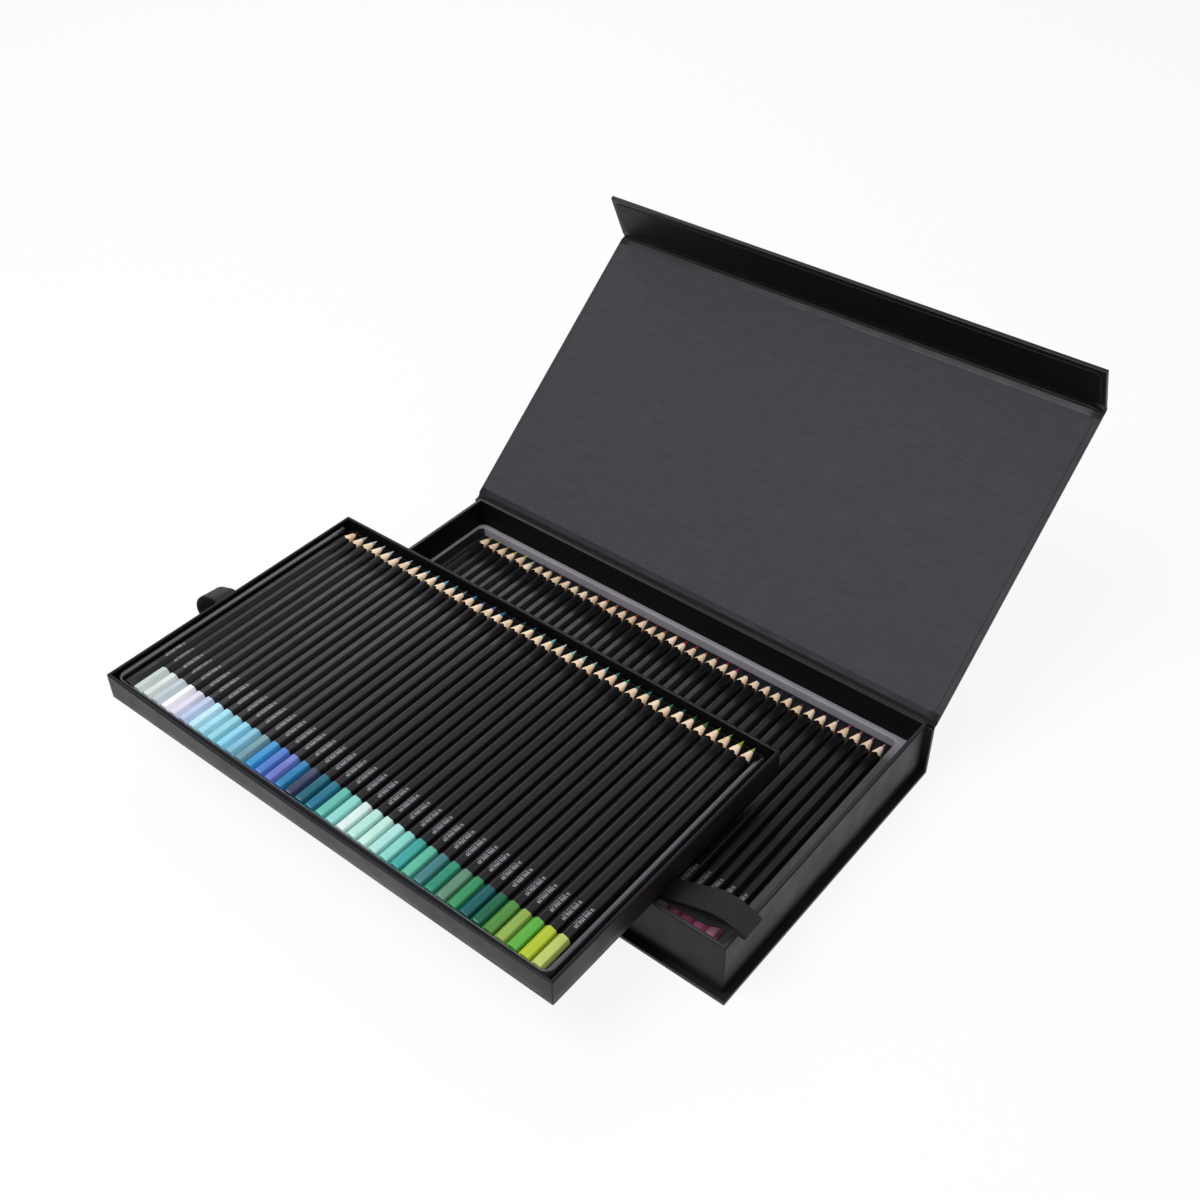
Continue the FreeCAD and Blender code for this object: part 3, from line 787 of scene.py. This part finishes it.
def make_upper_liner():
    row = pencil_row("upper", "greys")
    low, high = extent("upper_liner")
    floor = row.axis - HALF_FLATS
    ledge, ledge_slope = floor + 0.3, 1.6
    rear_end = high[1] - LEDGE_DEPTH

    def plain_rear(x, y, z):
        """The ridges run out before the ledge."""
        return z if y < rear_end else floor

    def low_rear(x, y, z):
        """Behind the side rims the sheet drops to a ledge under the points."""
        if y > rear_end:
            share = min(1, (y - rear_end) / ledge_slope)
            return min(z, ledge + (max(z, ledge) - ledge) * (1 - share) ** 2)
        return z

    # Behind the ledge's start the rim is painted in the floor's black as shade.
    rim_and_floor("upper", "tray", low, high, tub(low, high, UPPER_RIM_WIDTHS), (6.0, 3.5), row,
                  [UPPER_RIM, LINER_BLACK], plain_rear, low_rear, rear_end)


# Pencils

# Colour of each pencil from left to right, as red, green and blue
UPPER_COLOURS = {
    "greys": [(.11, .11, .12), (.78, .83, .80), (.85, .88, .87), (.74, .80, .84),
              (.95, .95, .97), (.86, .85, .93), (.70, .78, .92)],
    "blues": [(.70, .90, .96), (.58, .86, .96), (.52, .84, .90), (.48, .82, .95),
              (.44, .74, .86), (.40, .60, .66), (.14, .58, .85), (.26, .47, .85),
              (.38, .45, .82), (.08, .50, .76), (.20, .24, .38)],
    "teals": [(.05, .40, .50), (.06, .46, .60), (.35, .76, .70), (.52, .87, .84),
              (.86, .96, .94), (.70, .93, .88), (.74, .94, .88), (.66, .92, .90),
              (.50, .87, .82), (.18, .68, .66), (.32, .76, .62), (.22, .50, .52)],
    "greens": [(.13, .60, .47), (.36, .58, .46), (.18, .62, .38), (.05, .38, .40),
               (.05, .42, .28), (.30, .60, .22), (.58, .72, .26), (.35, .75, .22),
               (.76, .84, .12), (.76, .84, .36)],
}
LOWER_COLOURS = {
    "yellows": [(.85, .72, .50), (.80, .66, .42), (.82, .68, .45), (.90, .85, .20),
                (.92, .88, .40), (.92, .88, .78)],
    "browns": [(.22, .22, .24), (.36, .35, .36), (.72, .42, .22), (.22, .18, .17),
               (.45, .28, .20), (.40, .24, .28), (.50, .30, .20)],
    "oranges": [(.88, .45, .15), (.92, .50, .18), (.88, .32, .15), (.80, .18, .15),
                (.90, .50, .50), (.82, .18, .18), (.75, .38, .18), (.92, .45, .15)],
    "reds": [(.80, .15, .15), (.85, .20, .20), (.78, .12, .16), (.48, .08, .10),
             (.78, .14, .22), (.78, .10, .42), (.28, .16, .20)],
    "violets": [(.12, .15, .38), (.15, .25, .62), (.22, .20, .52), (.42, .20, .55),
                (.42, .26, .22), (.20, .16, .20), (.30, .14, .34), (.68, .64, .66)],
    "pinks": [(.90, .45, .60), (.92, .42, .60), (.98, .46, .68), (1.0, .60, .75)],
}

# How much a colour is greyed, and for dipped ends and leads: the finish, how much of the colour
# is left, and the end of the slot's name
GREYED = 0.2
COLOURED_PIECES = {"dips": (lacquer, 0.94, "_lacquer"), "leads": (pigment, 0.8, "_lead")}
PLAIN_PIECES = {"foil": ("barrel_lacquer", [FOIL]), "barrels": ("barrel_lacquer", [BARREL]),
                "wood_tips": ("bare_wood", [WOOD])}

# Radius of the sharpened cone for each millimetre back from its point, which is worn by BLUNT
TAPER = HALF_FLATS / 11.7
BLUNT = 0.12
LEAD_LENGTH = 4.4


def hexagon(corner_radius):
    """A rounded hexagon with a flat on top: points (x, z) from its right corner round."""
    points = []
    reach = (HALF_FLATS - corner_radius) / math.cos(math.radians(30))
    for centre in range(0, 360, 60):
        cx, cz = reach * math.cos(math.radians(centre)), reach * math.sin(math.radians(centre))
        points += arc_points(cx, cz, corner_radius, centre - 30, centre + 30, 4)
        turn, turned = math.radians(centre + 60), math.radians(centre + 30)
        nx = reach * math.cos(turn) + corner_radius * math.cos(turned)
        nz = reach * math.sin(turn) + corner_radius * math.sin(turned)
        x, z = points[-1]
        points += [(x + (nx - x) * t, z + (nz - z) * t) for t in (0.25, 0.5, 0.75)]
    return points


SECTION = hexagon(0.9)


def moved(x, y, z, radius):
    """A point of a pencil brought to another distance from its axis."""
    old_radius = math.hypot(x, z)
    return x * radius / old_radius, y, z * radius / old_radius


def ring_at(y, growth=0.0):
    """The hexagon at a distance from the butt, moved out or in by a small amount."""
    return [moved(x, y, z, math.hypot(x, z) + growth) for x, z in SECTION]


def pencil_meshes(length, dip, lead, chance):
    """The four pieces of one pencil with its butt at the origin: lists of loops and end points."""
    dips = [ring_at(y, growth) for y, growth in (
        (0.0, -0.75), (0.05, -0.35), (0.28, -0.1), (0.75, 0.03), (dip * 0.5, 0.04),
        (dip - 0.25, 0.04), (dip, -0.02))]
    barrel = [ring_at(dip - 0.3), ring_at(dip + 20)]
    barrel += [ring_at(dip + (length - dip) * t) for t in (0.35, 0.6, 0.8)]
    phase = chance.uniform(0, 6.28)
    wobble = [0.16 * math.sin(4 * n * 2 * math.pi / len(SECTION) + phase)
              + 0.3 * math.sin(n * 2 * math.pi / len(SECTION) + 2 * phase)
              for n in range(len(SECTION))]
    end = [(x, length - math.hypot(x, z) / TAPER + w * 0.5, z)
           for (x, z), w in zip(SECTION, wobble)]
    lip = [moved(x, y + 0.02, z, math.hypot(x, z) - 0.09) for x, y, z in end]
    barrel += [end, lip]
    wood = [lip]
    starts = [length - lead + w * 1.6 for w in wobble]
    for t in (0.25, 0.5, 0.75, 1.0):
        loop = []
        for n, (x, y, z) in enumerate(lip):
            from_radius = math.hypot(x, z)
            radius = from_radius + ((length - starts[n]) * TAPER - from_radius) * t
            loop.append(moved(x, y + (starts[n] - y) * t, z, radius))
        wood.append(loop)
    point = []
    for t in (0.0, 0.5, 0.8, 0.93):
        ahead = [(x, y + (length - y) * t, z) for x, y, z in wood[-1]]
        point.append([moved(x, y, z, (length - y) * TAPER) for x, y, z in ahead])
    return {"dips": (dips, (0, 0.0, 0), None), "barrels": (barrel, None, None),
            "wood_tips": (wood, None, None), "leads": (point, None, (0, length - BLUNT, 0))}


def add_loops(bucket, loops, first_centre, last_centre, matrix, index):
    """Adds one skinned piece to a growing list of corners and faces."""
    verts, faces = skin(loops)
    size = len(loops[0])
    shift = len(bucket["verts"])
    bucket["verts"] += [tuple(matrix @ Vector(v)) for v in verts]
    bucket["faces"] += [[n + shift for n in face] for face in faces]
    extra = 0
    for centre, start in ((first_centre, 0), (last_centre, len(verts) - size)):
        if centre is not None:
            bucket["verts"].append(tuple(matrix @ Vector(centre)))
            hub = shift + len(verts) + extra
            extra += 1
            for n in range(size):
                bucket["faces"].append([shift + start + n, shift + start + (n + 1) % size, hub])
    bucket["indices"] += [index] * (len(bucket["faces"]) - len(bucket["indices"]))


MARKS_FROM_DIP = 6.4
FOIL_HEIGHT = 0.025


def foil_marks(bucket, matrix, start, top):
    """Two rows of fine silver strokes along the upper flat, where a barrel is usually stamped."""
    def bar(x_from, x_to, y_from, y_to, lean=0.0):
        corners = [(x_from, y_from), (x_to, y_from + lean), (x_to, y_to + lean), (x_from, y_to)]
        shift = len(bucket["verts"])
        bucket["verts"] += [tuple(matrix @ Vector((x, y, top + FOIL_HEIGHT))) for x, y in corners]
        bucket["faces"].append([shift, shift + 1, shift + 2, shift + 3])
        bucket["indices"].append(0)

    y = start
    for number in range(9):
        kind = number % 3
        bar(-0.5, 1.15, y, y + 0.36, 0.3)
        if kind != 1:
            bar(-0.5, 1.15, y + 0.78, y + 1.12, 0.3)
        if kind != 2:
            bar(0.82, 1.15, y + 0.5, y + 0.95)
        if kind != 0:
            bar(-0.5, -0.17, y + 0.34, y + 0.9)
        y += 1.56
    y = start + 1.2
    for number in range(8):
        bar(-1.5, -0.85, y, y + 0.34, 0.12)
        if number % 2:
            bar(-1.5, -1.22, y + 0.34, y + 0.72)
        y += 1.3


def muted(colour, share, gain):
    """A colour drawn towards its own grey, and darkened."""
    grey = sum(colour) / 3
    return tuple((c + (grey - c) * share) * gain for c in colour)


def make_pencils(layer, colours, roll_at, reach_at):
    """A row of pencils; roll and reach beyond the solids depend on the place in the row."""
    chance = random.Random(ROW_SEEDS[layer])
    first_family = next(iter(colours))
    row = pencil_row(layer, first_family)
    dip_box = extent(layer + "_dips_" + first_family)
    dip = dip_box[1][1] - dip_box[0][1]
    buckets = {}

    def bucket(key):
        return buckets.setdefault(key, {"verts": [], "faces": [], "indices": []})

    number = 0
    for family, shades in colours.items():
        for place_in_family in range(len(shades)):
            share = number / (ROW_COUNT - 1)
            roll = roll_at(share) + chance.uniform(-5, 5)
            rise = HALF_CORNERS * math.cos(math.radians(30 - min(abs(roll), 30))) - HALF_FLATS
            reach = reach_at(share) + chance.uniform(-0.7, 0.45)
            if number % 9 == 5:
                reach -= 1.2  # Now and then one that was sharpened once more
            x = row.first + number * row.pitch + chance.uniform(-0.03, 0.03)
            y = row.butt + chance.uniform(0.0, 0.25)
            matrix = (Matrix.Translation((x, y, row.axis + rise * 0.6))
                      @ Matrix.Rotation(math.radians(roll), 4, "Y"))
            pieces = pencil_meshes(row.length + reach, dip + chance.uniform(-0.2, 0.2),
                                   LEAD_LENGTH + chance.uniform(-0.4, 0.9), chance)
            for kind, (loops, hub_a, hub_b) in pieces.items():
                coloured = kind in COLOURED_PIECES
                add_loops(bucket(kind + "_" + family if coloured else kind), loops, hub_a, hub_b,
                          matrix, place_in_family if coloured else 0)
            foil_marks(bucket("foil"), matrix, dip + MARKS_FROM_DIP, HALF_FLATS)
            number += 1
    body = layer + "_pencils"
    for key, data in buckets.items():
        if key in PLAIN_PIECES:
            slot, materials = PLAIN_PIECES[key]
        else:
            kind, family = key.split("_")
            make, gain, ending = COLOURED_PIECES[kind]
            slot = family + ending
            materials = [make(f"{family}_{kind}_{n + 1}", muted(c, GREYED, gain))
                         for n, c in enumerate(colours[family])]
        thing = new_object(f"{layer}_{key}_finished", data["verts"], data["faces"], materials,
                           data["indices"])
        if key == "foil":
            place(thing, body, slot)
        else:
            outward(thing)
            place(thing, body, slot, [layer + "_" + key])


# Ribbons

RIBBON_THICKNESS = 0.5


def ribbon(name, node, points, tilt):
    """A finger loop of satin ribbon: a route (x, z) through points, tilted across its width.

    tilt gives the rise of its front edge from x and from the share of the route that lies behind.
    """
    low, high = extent(node)
    line = smooth_route(points, 10)
    across = 10
    lengths = [0.0]
    for a, b in zip(line, line[1:]):
        lengths.append(lengths[-1] + (b - a).length)
    verts, marks = [], []
    half = RIBBON_THICKNESS / 2
    for layer in (-1, 1):
        for n, p in enumerate(line):
            ahead = line[min(n + 1, len(line) - 1)] - line[max(n - 1, 0)]
            normal = Vector((-ahead[1], ahead[0])).normalized()
            for c in range(across + 1):
                share = c / across
                y = low[1] + 0.05 + (high[1] - low[1] - 0.1) * share
                shift = tilt(p[0], n / (len(line) - 1)) * (0.5 - share) * 2
                selvedge = 1.0 + 0.35 * (1 if share in (0.1, 0.9) else 0)
                edge = 0.55 if c in (0, across) else 1.0
                q = p + normal * half * layer * selvedge * edge
                verts.append((q[0], y, q[1] + shift))
                marks.append((lengths[n], y, 0.0))
    loop = new_object(name, verts, sheet_faces(len(line), across + 1), [RIBBON])
    attribute = loop.data.attributes.new("along_across", "FLOAT_VECTOR", "POINT")
    attribute.data.foreach_set("vector", [v for mark in marks for v in mark])
    outward(loop)
    place(loop, "tray", "ribbon_weave", [node])


def bump_between(x, x_from, x_to):
    """A smooth rise from 0 to 1 and back between two places."""
    if not min(x_from, x_to) < x < max(x_from, x_to):
        return 0.0
    t = (x - x_from) / (x_to - x_from)
    return math.sin(math.pi * t) ** 2


def make_right_ribbon():
    edge = extent("tray_right_wall")[1][0]
    top = extent("tray_floor")[0][2]
    # Millimetres outwards and upwards from the tray's lower right edge, round the loop
    route = [(-25.8, -0.50), (-21, -0.50), (-17.6, -0.55), (-14.9, -0.95), (-12.3, -2.35),
             (-7.9, -5.3), (-4.2, -6.15), (0.7, -5.2), (9, -1.75), (17.5, 1.9), (25.5, 5.2),
             (32.2, 6.3), (38.4, 5.9), (44.4, 4.3), (48.2, 2.9), (49.1, 1.7), (48.2, 0.6),
             (46, 0.6), (43.5, 1.2), (41.0, 1.3), (38.8, 0.6), (33.5, -2.4), (27.8, -5.5),
             (23, -6.95), (16, -7.45), (6, -7.75), (-2, -7.95), (-6.4, -7.4), (-10.3, -5.3),
             (-13.7, -2.8), (-16.2, -1.95), (-19, -1.82), (-25.6, -1.82)]
    points = [(edge + out, top + up) for out, up in route]

    def tilt(x, share):
        if share < 0.5:
            return -0.7 * bump_between(x, edge + 6, edge + 47)
        return 0.4 * bump_between(x, edge + 2, edge + 40)

    ribbon("right_finger_loop", "right_ribbon", points, tilt)


def make_left_ribbon():
    edge = extent("tray_left_wall")[0][0]
    top = extent("tray_floor")[0][2]
    # Millimetres outwards and upwards from the tray's lower left edge, round the loop
    route = [(-25.8, -0.45), (-14, -0.45), (-4, -0.45), (0, -0.43), (1.5, -0.3), (2.6, 0.15),
             (3.5, 0.85), (4.9, 2.9), (7.3, 6.4), (9.2, 7.6), (11.4, 8.1), (13.6, 7.8),
             (17.5, 6.6), (21.6, 5.2), (24.7, 3.4), (27.4, 1.1), (29.7, -1.6), (31.4, -5.2),
             (32.0, -9.0), (31.0, -12.8), (28.1, -15.4), (24.3, -16.1), (20.7, -14.8),
             (14.5, -10.4), (7.5, -5.3), (0.65, -0.6), (-0.4, -0.05), (-1.4, 0.2), (-2.5, 0.27),
             (-8, 0.27), (-18, 0.27), (-28.6, 0.27)]
    points = [(edge - out, top + up) for out, up in route]

    def tilt(x, share):
        return 1.1 * bump_between(x, edge - 4, edge - 36) if share < 0.62 else 0.0

    ribbon("left_finger_loop", "left_ribbon", points, tilt)


# Nodes kept from the frame

def dress(node, material):
    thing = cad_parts[node]
    if thing.data.materials:
        for number in range(len(thing.data.materials)):
            thing.data.materials[number] = material
    else:
        thing.data.materials.append(material)


def dress_kept_nodes():
    dress("tray_floor", TRAY_PAPER)
    dress("front_wall_keepers", STEEL)
    dress("flap_magnets", PLATING)


# Stage, light and camera

def mixed(tree, output_kind, share, first, second):
    """Sends a mix of two shaders to the output."""
    mix = add_node(tree, "ShaderNodeMixShader", {0: share, 1: first.outputs[0],
                                                 2: second.outputs[0]})
    add_node(tree, output_kind, {"Surface": mix.outputs[0]})


WHITE = (1, 1, 1, 1)
FLOOR_GREY = (0.86, 0.86, 0.86, 1)
FLOOR_HALF_SIZE = 6000.0
FLOOR_DROP = 0.05
FLOOR_LIT_SHARE = 0.12
SURROUND = 0.40


def make_stage():
    """A pale floor that is white to the camera but for the shadow, in an even white surround."""
    h, z = FLOOR_HALF_SIZE, -FLOOR_DROP
    floor = new_object("floor", [(-h, -h, z), (h, -h, z), (h, h, z), (-h, h, z)],
                       [[0, 1, 2, 3]], [], smooth=False)
    material = bpy.data.materials.new("pale_floor")
    material.use_nodes = True
    tree = material.node_tree
    tree.nodes.clear()
    rays = add_node(tree, "ShaderNodeLightPath", {}).outputs
    seen = maths(tree, "MAXIMUM", rays["Is Camera Ray"], rays["Is Glossy Ray"])
    seen = maths(tree, "MAXIMUM", seen, rays["Is Transmission Ray"])
    mixed(tree, "ShaderNodeOutputMaterial", maths(tree, "MULTIPLY", seen, 1 - FLOOR_LIT_SHARE),
          add_node(tree, "ShaderNodeBsdfDiffuse", {"Color": FLOOR_GREY}),
          add_node(tree, "ShaderNodeEmission", {"Color": WHITE, "Strength": 1.0}))
    floor.data.materials.append(material)

    world = bpy.data.worlds.new("studio")
    bpy.context.scene.world = world
    world.use_nodes = True
    tree = world.node_tree
    tree.nodes.clear()
    rays = add_node(tree, "ShaderNodeLightPath", {}).outputs
    mixed(tree, "ShaderNodeOutputWorld", rays["Is Camera Ray"],
          add_node(tree, "ShaderNodeBackground", {"Color": WHITE, "Strength": SURROUND}),
          add_node(tree, "ShaderNodeBackground", {"Color": WHITE, "Strength": 1.0}))


def lamp(name, place_at, aim, size, power):
    data = bpy.data.lights.new(name, "AREA")
    data.shape = "RECTANGLE"
    data.size, data.size_y = size
    data.energy = power
    thing = bpy.data.objects.new(name, data)
    thing.location = place_at
    thing.rotation_euler = (Vector(aim) - Vector(place_at)).to_track_quat("-Z", "Y").to_euler()
    bpy.context.scene.collection.objects.link(thing)


def make_lights():
    """A large key above the front left, and a band light over the rear left for the gloss."""
    lamp("key_softbox", (-0.35, -0.75, 1.5), (0.0, 0.0, 0.05), (0.9, 0.9), 21)
    lamp("gloss_softbox", (-1.05, 0.85, 1.05), (-0.1, -0.08, 0.05), (1.0, 0.9), 5.0)
    lamp("right_softbox", (1.2, -0.4, 1.1), (0.0, 0.0, 0.05), (0.8, 0.8), 4.0)


def make_camera():
    azimuth, elevation, roll = (math.radians(a) for a in (39.38, 40.60, 0.594))
    back = Vector((math.sin(azimuth) * math.cos(elevation),
                   -math.cos(azimuth) * math.cos(elevation), math.sin(elevation)))
    forward = -back
    right = forward.cross(Vector((0, 0, 1))).normalized()
    down = forward.cross(right)
    across = math.cos(roll) * right + math.sin(roll) * down
    below = -math.sin(roll) * right + math.cos(roll) * down
    data = bpy.data.cameras.new("camera")
    data.sensor_width = 36
    data.lens = 44.79
    data.clip_start, data.clip_end = 0.02, 50
    camera = bpy.data.objects.new("camera", data)
    rows = Matrix((across, -below, back)).transposed().to_4x4()
    camera.matrix_world = Matrix.Translation((0.40042, -0.47115, 0.63461)) @ rows
    bpy.context.scene.collection.objects.link(camera)
    bpy.context.scene.camera = camera


make_camera()
make_case()
make_lid()
make_creases()
make_tray()
make_lower_liner()
make_upper_liner()
# Each pencil's roll, and its reach beyond the solids, follow its place in the row, from 0 to 1.
make_pencils("lower", LOWER_COLOURS, lambda t: -8 + 16 * t, lambda t: 3.0 - 2.0 * t)
make_pencils("upper", UPPER_COLOURS, lambda t: -10 + 26 * min(1, t * 1.8), lambda t: 1.1 * t - 0.2)
make_right_ribbon()
make_left_ribbon()
dress_kept_nodes()
make_stage()
make_lights()

scene = bpy.context.scene
scene.view_settings.view_transform = "Standard"
